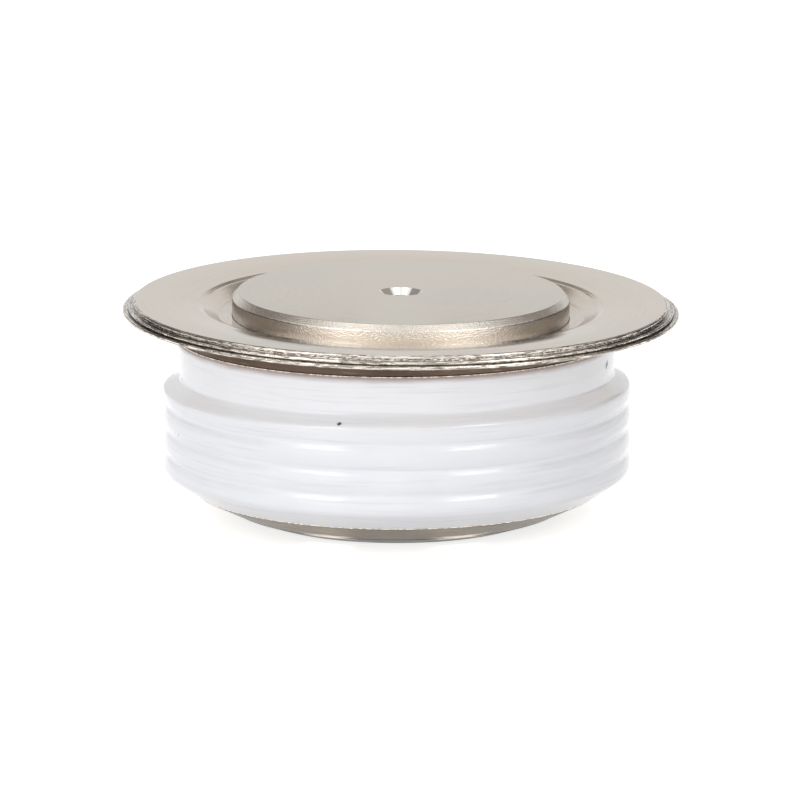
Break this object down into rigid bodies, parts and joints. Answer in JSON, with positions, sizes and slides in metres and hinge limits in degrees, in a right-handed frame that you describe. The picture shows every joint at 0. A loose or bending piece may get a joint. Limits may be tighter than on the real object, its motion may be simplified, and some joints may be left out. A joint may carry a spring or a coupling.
{
  "type": "press-pack rectifier diode",
  "caption": "Press-pack rectifier diode: ribbed white ceramic capsule with nickel-plated pole faces, a flexible rim flange and centring holes, for clamping between heat sinks.",
  "frame": {"origin": "centre of the anode contact face, on which the capsule stands", "axes": "+Z along the capsule's axis, from the anode contact face to the cathode contact face"},
  "size_m": [0.065, 0.065, 0.0263],
  "materials": {
    "plated_copper": "satin nickel plate on turned copper",
    "plated_sheet": "semi-bright nickel plate on pressed sheet",
    "glazed_alumina": "white gloss glaze, unglazed band at the foot",
    "braze": "bright silver braze",
    "silver": "soft annealed silver foil",
    "molybdenum": "lapped molybdenum",
    "silicon": "diffused and metallised silicon",
    "silicone_rubber": "cast silicone rubber",
    "ring_plastic": "turned fluoropolymer"
  },
  "bodies": {
    "root": {"cathode_pole": "plated_copper", "cathode_pole_braze": "braze", "cathode_flange": "plated_sheet", "weld_ring": "plated_sheet", "weld_ring_braze": "braze", "ceramic_housing": "glazed_alumina", "anode_flange_braze": "braze", "anode_flange": "plated_sheet", "anode_pole_braze": "braze", "anode_pole": "plated_copper", "silver_foil": "silver", "anode_molybdenum_disc": "molybdenum", "silicon_wafer": "silicon", "edge_passivation": "silicone_rubber", "cathode_molybdenum_disc": "molybdenum", "centring_ring": "ring_plastic"}
  },
  "joints": []
}
